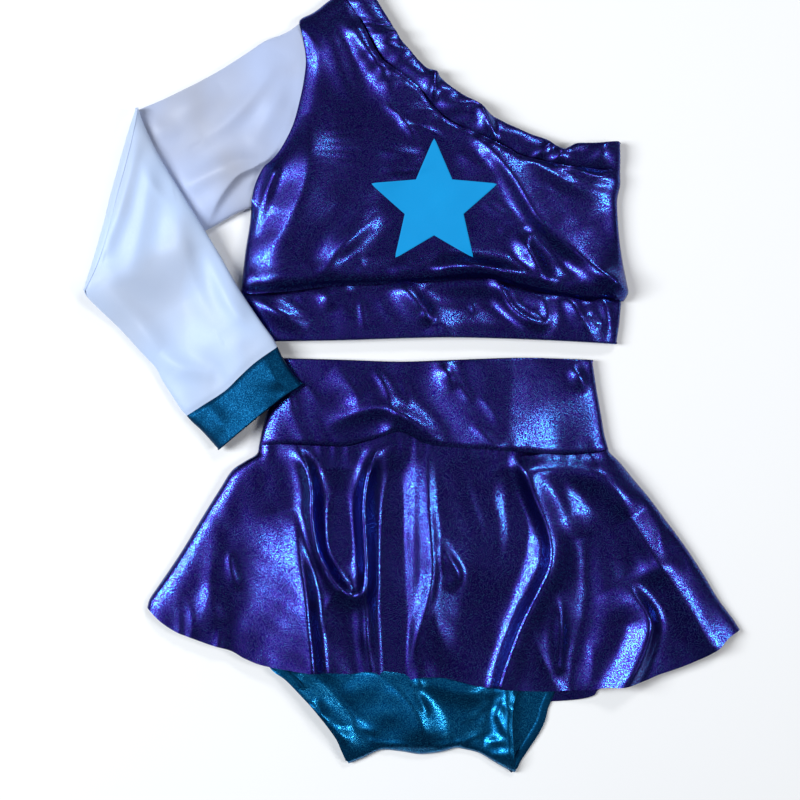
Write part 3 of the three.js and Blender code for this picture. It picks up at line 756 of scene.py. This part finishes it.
def underbust_band():
    rows, cols = grid_size(272, 40)
    seam, edge_line = BAND_SEAM[::-1], BAND_EDGE[::-1]
    right = [(150, 60.5), (149.2, 50), (148.2, 40), (146.3, 28.1)]
    left = [(-125.2, 66.3), (-125, 54), (-124.2, 42), (-123, 30.3)]
    plan = plan_of(seam, edge_line, right, left, rows, cols)
    x, y = plan[..., 0], plan[..., 1]
    waves = ripple(x, y, 51, 34, heading=-80, spread=90)
    z = UNDERBUST_LOFT + folds(x, y, UNDERBUST_FOLDS) + 0.18 * waves
    z += creases(
        x, y, seed=52, count=12, box=(-120, 30, 145, 70), heading=-70, spread=50,
        length=(10, 30), height=(0.3, 1.3), width=(2, 4.5),
    )
    v = share(rows)[:, None]
    z -= 2.2 * bell(v, 0.12)
    grids = tube(plan, plan, z, BACK_HEIGHT, SIDE_HEIGHT, 14)
    keep = rows // 4
    grids = [turn_in(g, keep, s) for g, s in zip(grids, (-1, 1))]
    piece = cloth("underbust_band_cloth", grids, "crop_top", PURPLE)
    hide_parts("underbust_band", "underbust_elastic", "underbust_seam_overlock")


NECK_FOLDS = [
    (3, 4, 1.8, [(50, 196, 3), (54, 186, 4.5), (58, 174, 2)]),
    (3, 4, 1.8, [(16, 222, 3), (14, 210, 3), (12, 200, 1)]),
    (4, 4, 1.8, [(106, 168, 3), (104, 162, 2), (98, 156, 1)]),
]


def neck_band():
    rows, cols = grid_size(300, 21, FINE_STEP)
    left = [(-52, 281.5), (-42, 282.6), (-31, 283.5)]
    right = [(149, 152.7), (149.2, 162), (148.4, 170.7)]
    plan = plan_of(NECK_SEAM, NECK_EDGE, left, right, rows, cols)
    x, y = plan[..., 0], plan[..., 1]
    u, v = share(cols, EASE)[None], share(rows)[:, None]
    rng = np.random.default_rng(61)
    gathers = np.zeros(x.shape)
    for _ in range(15):
        at, slant = rng.uniform(0.03, 0.97), rng.uniform(-0.05, 0.05)
        width = rng.uniform(0.010, 0.034)
        gathers += rng.uniform(-1.6, 2.6) * bell(u - at - slant * v, width)
    z = NECK_LOFT + 2.2 * np.sin(math.pi * np.clip(v, 0, 1)) ** 0.8 + gathers * (0.35 + 0.65 * v)
    z += folds(x, y, NECK_FOLDS)
    grids = tube(plan, plan, z, BACK_HEIGHT, 5.4, 18)
    grids = [turn_in(g, 2, s, 1.3) for g, s in zip(grids, (-1, 1))]
    piece = cloth("neck_band_cloth", grids, "crop_top", PURPLE)
    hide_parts("neck_band", "neck_elastic", "neck_seam_overlock")


STAR_TIP, STAR_INNER = 48.0, 22.1  # from the star's centre to its points and to its inner corners


def emblem():
    """A plain five-pointed star that follows the bodice."""
    low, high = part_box("emblem")
    centre = (0.5 * (low[0] + high[0]) / MM, (high[1] / MM) - STAR_TIP)
    rings, around = 34, 200
    angle = 2 * math.pi * np.arange(around + 1) / around
    turn = (angle - math.pi / 2) % (2 * math.pi / 5)
    turn = np.minimum(turn, 2 * math.pi / 5 - turn)
    ax, ay = STAR_TIP, 0.0
    bx, by = STAR_INNER * math.cos(math.pi / 5), STAR_INNER * math.sin(math.pi / 5)
    nx, ny = by - ay, ax - bx
    reach = (nx * ax + ny * ay) / (nx * np.cos(turn) + ny * np.sin(turn))
    reach = np.minimum(reach, STAR_TIP - 1.2 + 0.4 * np.cos(turn * 8))
    r = (share(rings) ** 0.8)[:, None]
    x = centre[0] + r * reach * np.cos(angle)[None]
    y = centre[1] + r * reach * np.sin(angle)[None]
    rim = smooth((1 - r) / 0.03)
    z = bodice_height(x, y) + 0.12 + 0.3 * rim
    piece = cloth("emblem_film", [np.dstack([x, y, z])], "crop_top", BLUE, FILM)
    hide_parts("emblem")


# --- Sleeve --------------------------------------------------------------------------------------

CREASE = [
    (-199.3, 196.6), (-205.6, 176.5), (-211.8, 155), (-217.6, 134), (-222.9, 112), (-229.5, 90),
    (-237, 66.3),
]
CREASE_TUCK = 6.0  # how far inside the crease the two halves of the sleeve turn
TUCK_ENDS = 0.7  # share of the tuck that is gone where the crease ends
TUCK_ROWS = 6.0  # rows over which the tuck fades
TUCK_WAY = math.radians(-16)
SLEEVE_SECTION = 7  # power of the sleeve's section, as rounded() takes it
ARM_TOP = [
    (-82.7, 259.2), (-89.2, 254.2), (-96.4, 250.6), (-107.2, 246.6), (-121.6, 237), (-139.6, 225.5),
    (-154, 217.5), (-168.4, 210.3), (-182.8, 203.4), (-199.3, 196.6),
]
ARM_UNDER = [(-117.3, 126), (-128.8, 121.3), (-148.9, 110), (-178, 96), (-208, 81), (-237, 66.3)]
FORE_RIGHT = [
    (-199.3, 196.6), (-193.6, 183.6), (-182.8, 162), (-168.4, 138.3), (-154, 115.2), (-139.6, 91.5),
    (-125.2, 66.3), (-110.8, 44.7), (-101.4, 31.7), (-97.8, 25),
]
FORE_LEFT = [
    (-237, 66.3), (-234.6, 61.2), (-226, 51.9), (-211.6, 37.5), (-197.2, 21.6), (-186.4, 10),
    (-182, 1.5), (-175.6, -8.5), (-168.4, -19.5), (-164.1, -24.5),
]
CUFF_SEAM = [
    (-97.8, 25), (-114.4, 13.2), (-125.2, 3.5), (-136, -6.5), (-150, -15.6), (-164.1, -24.5),
]
CUFF_END = [(-80.5, -1.4), (-96.4, -12.2), (-118, -29.5), (-141, -48.5)]
CUFF_FOLDS = [
    (5, 6, 1.8, [(-104, 12, 1), (-98, 2, 2.5), (-92, -6, 1)]),
    (6, 6, 1.8, [(-146, -18, 1), (-140, -28, 2), (-134, -36, 1)]),
]
UPPER_FOLDS = [
    (7, 10, 1.8, [(-96, 236, 0), (-112, 210, 4.5), (-130, 190, 5.2), (-150, 176, 1.5)]),
    (8, 8, 1.8, [(-112, 158, 1.5), (-126, 158, 5.2), (-146, 150, 5.2), (-166, 138, 1.5)]),
    (15, 2.6, 1.6, [(-150, 111, 0), (-140, 131, 4.5), (-127, 147, 6), (-114, 154, 5)]),
    (9, 9, 1.9, [(-90, 226, 0), (-100, 200, 3.8), (-112, 176, 2.2)]),
    (12, 12, 2, [(-140, 214, 0), (-160, 200, 3.8), (-180, 188, 1.5)]),
]
FORE_FOLDS = [
    (7, 9, 1.8, [(-198, 176, 1.4), (-203, 150, 5.4), (-210, 124, 5.4), (-220, 96, 2.7)]),
    (9, 9, 1.8, [(-188, 166, 0), (-190, 138, 4.7), (-194, 110, 4.1), (-202, 80, 1.4)]),
    (8, 12, 1.9, [(-170, 126, 1.4), (-166, 98, 4.1), (-156, 66, 4.1), (-142, 38, 1.4)]),
    (9, 9, 1.9, [(-222, 72, 1.4), (-206, 52, 4.7), (-190, 32, 4.7), (-172, 8, 1.4)]),
    (7, 7, 1.8, [(-150, 96, 0), (-140, 72, 3.4), (-126, 48, 2)]),
    (6, 7, 1.8, [(-182, 22, 0), (-168, 12, 3.4), (-150, 6, 1.4)]),
]
FOREARM = [(-199, 197), (-98, 25), (-164, -25), (-237, 66)]
FOREARM_LOW = 2.0  # height of its underside over the floor
FOREARM_LIFT = 11.2  # how much higher it lies on the upper sleeve, the top and the waistband
UNDER_FOREARM = [
    [(-118, 126), (-237, 66), (-200, 197), (-83, 260)],
    [(-123, 30), (-125.5, 66), (-117, 126), (-80, 200), (150, 152), (148, 30)],
    [(-98, 17), (-110, -36), (-113, -52), (140, -48), (129, 15)],
]


def inside(x, y, corners):
    """Signed distance into a polygon, positive inside it."""
    d, _, _ = near(x, y, [(*p, 0) for p in corners + corners[:1]])
    within = np.zeros(x.shape, bool)
    for (ax, ay), (bx, by) in zip(corners, corners[1:] + corners[:1]):
        crosses = (ay > y) != (by > y)
        slope = (bx - ax) / (by - ay) if by != ay else 0
        within ^= crosses & (x < ax + (y - ay) * slope)
    return np.where(within, d, -d)


def forearm_rest(x, y):
    """Height that the lower half of the sleeve lies at."""
    slope_from, slope_width = 42, 45
    clear = [
        1 - smooth((inside(x, y, shape) + slope_from) / slope_width) for shape in UNDER_FOREARM
    ]
    return FOREARM_LOW + FOREARM_LIFT * (1 - np.prod(clear, axis=0))


def tucked(plan, row):
    """Moves a plan's crease row inward, and the rows near it with it."""
    inward = CREASE_TUCK * (1 - TUCK_ENDS * np.abs(2 * share(plan.shape[1], EASE) - 1) ** 4)
    move = inward[:, None] * np.array([math.cos(TUCK_WAY), math.sin(TUCK_WAY)])
    fade = np.exp(-np.abs(np.arange(len(plan)) - row % len(plan)) / TUCK_ROWS)
    return plan + fade[:, None, None] * move[None]


def upper_sleeve():
    rows, cols = grid_size(136, 130)
    armhole = TOP_LEFT[ARMHOLE[0] : ARMHOLE[1] + 1]
    plan = plan_of(armhole, CREASE[::-1], ARM_UNDER, ARM_TOP, rows, cols)
    x, y = plan[..., 0], plan[..., 1]
    v = share(rows)[:, None]
    covered = smooth((inside(x, y, FOREARM) + 6) / 12)
    z = SLEEVE_LOFT + (1 - covered) * folds(x, y, UPPER_FOLDS) + 0.35 * ripple(x, y, 71, 34)
    z += (1 - covered) * creases(
        x, y, seed=72, count=12, box=(-190, 110, -90, 250), heading=200, spread=50,
        length=(20, 50), height=(0.3, 1.2), width=(4, 8),
    )
    z = np.where(covered > 0, np.minimum(z, 12.0 + 4 * (1 - covered)), z)
    z = z * (1 - bell(v, 0.02)) + 11.4 * bell(v, 0.02)
    grids = tube(plan, tucked(plan, -1), z, BACK_HEIGHT, SIDE_HEIGHT, SLEEVE_SECTION)
    piece = cloth("sleeve_upper_cloth", grids, None, SLEEVE_KNIT_SHADED)
    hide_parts("sleeve_upper", "armhole_seam_overlock")
    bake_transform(piece)


def lower_sleeve():
    rows, cols = grid_size(134, 165)
    plan = plan_of(CREASE, CUFF_SEAM, FORE_RIGHT, FORE_LEFT, rows, cols)
    x, y = plan[..., 0], plan[..., 1]
    rest = forearm_rest(x, y)
    z = rest + FOREARM_LOFT + folds(x, y, FORE_FOLDS) + 0.4 * ripple(x, y, 81, 36)
    z += creases(
        x, y, seed=82, count=14, box=(-235, -20, -100, 190), heading=110, spread=50,
        length=(20, 60), height=(0.3, 1.2), width=(4, 9),
    )
    v = share(rows)[:, None]
    z -= 1.2 * bell(1 - v, 0.02)
    grids = tube(tucked(plan, 0), plan, z, rest, rest + 3.0, SLEEVE_SECTION)
    piece = cloth("sleeve_lower_cloth", grids, "lower_sleeve", FOREARM_KNIT_LIT)
    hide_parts("sleeve_lower", "cuff_seam_overlock")
    return grids


def crease(lower_grids):
    """The outer layer of the fold, from the upper half's back round to the lower half's front."""
    cols = lower_grids[0].shape[1]
    top = lower_grids[0][0]
    section = rounded(cols, SLEEVE_SECTION)[0]
    low = SIDE_HEIGHT + (BACK_HEIGHT - SIDE_HEIGHT) * section
    outer = spline(CREASE, cols, EASE)
    steps = 12
    ring = []
    for k in range(steps + 1):
        a = math.pi * (k / steps - 0.5)
        out = 1 - math.cos(a)
        p = outer + (top[:, :2] - outer) * out
        z = 0.5 * (low + top[:, 2]) + 0.5 * (top[:, 2] - low) * math.sin(a)
        ring.append(np.column_stack([p, z]))
    piece = cloth("elbow_fold_cloth", [np.stack(ring)[:, ::-1]], None, FOREARM_KNIT_LIT)
    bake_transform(piece)


def cuff():
    rows, cols = grid_size(84, 34, FINE_STEP)
    right = [(-97.8, 25), (-94.2, 17.8), (-87.5, 7.2), (-80.5, -1.4)]
    left = [(-164.1, -24.5), (-159.5, -29.5), (-153, -35.5), (-141, -48.5)]
    plan = plan_of(CUFF_SEAM, CUFF_END, right, left, rows, cols)
    x, y = plan[..., 0], plan[..., 1]
    rest = forearm_rest(x, y)
    v = share(rows)[:, None]
    z = rest + CUFF_LOFT + 0.3 * ripple(x, y, 91, 20)
    z += folds(x, y, CUFF_FOLDS)
    z -= 1.4 * bell(v, 0.05)
    grids = tube(plan, plan, z, rest, rest + 3.2, SLEEVE_SECTION)
    grids = [turn_in(g, rows // 4, s, 1.4) for g, s in zip(grids, (-1, 1))]
    piece = cloth("cuff_cloth", grids, "lower_sleeve", TEAL_KNIT)
    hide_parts("cuff")


# --- Studio --------------------------------------------------------------------------------------


CAMERA_AT = (-0.010, -0.013, 1.41)
LENS = 87.5
SKY_STRENGTH = 0.11
FLOOR_HALF = 6.0
# name, place, (width, height), watts, color
LAMPS = [
    ("window", (-1.34, 0.10, 1.5), (0.55, 1.2), 39, (0.92, 0.96, 1.0)),
    ("fill", (1.2, -0.1, 1.5), (0.3, 0.6), 11, (1, 1, 1)),
    ("top", (0.7, 1.3, 1.45), (0.5, 0.3), 8, (1, 1, 1)),
]


def camera():
    data = bpy.data.cameras.new("camera")
    data.sensor_width = 36
    data.lens = LENS
    data.clip_end = 50
    eye = bpy.data.objects.new("camera", data)
    eye.location = CAMERA_AT
    bpy.context.scene.collection.objects.link(eye)
    bpy.context.scene.camera = eye


def lamp(name, place, size, power, color):
    """A soft lamp that faces the origin."""
    data = bpy.data.lights.new(name, "AREA")
    data.shape = "RECTANGLE"
    data.size, data.size_y = size
    data.energy = power
    data.color = color
    light = bpy.data.objects.new(name, data)
    light.location = place
    way = -np.array(place, float)
    yaw = math.atan2(way[1], way[0])
    pitch = math.atan2(way[2], math.hypot(way[0], way[1]))
    light.rotation_euler = (math.pi / 2 + pitch, 0, yaw - math.pi / 2)
    bpy.context.scene.collection.objects.link(light)


def studio():
    world = bpy.data.worlds.new("studio")
    world.use_nodes = True
    sky = world.node_tree.nodes["Background"]
    sky.inputs["Color"].default_value = (0.82, 0.88, 1.0, 1)
    sky.inputs["Strength"].default_value = SKY_STRENGTH
    bpy.context.scene.world = world
    bpy.context.scene.view_settings.view_transform = "Standard"

    mesh = bpy.data.meshes.new("floor")
    corners = [(x * FLOOR_HALF, y * FLOOR_HALF, 0) for x, y in ((-1, -1), (1, -1), (1, 1), (-1, 1))]
    mesh.from_pydata(corners, [], [(0, 1, 2, 3)])
    floor = bpy.data.objects.new("floor", mesh)
    bpy.context.scene.collection.objects.link(floor)
    m = Nodes("floor_paper")
    grain = m.noise(300, 2.0)
    m.bump(grain, 0.02, 0.0002)
    paper = m.set(Base_Color=(0.93, 0.93, 0.93), Roughness=0.9, Specular_IOR_Level=0.1)
    mesh.materials.append(paper)

    for name, place, size, power, color in LAMPS:
        lamp(name, place, size, power, color)


camera()
studio()
skirt()
waistband()
brief()
leg_bands()
bodice()
underbust_band()
neck_band()
emblem()
upper_sleeve()
crease(lower_sleeve())
cuff()
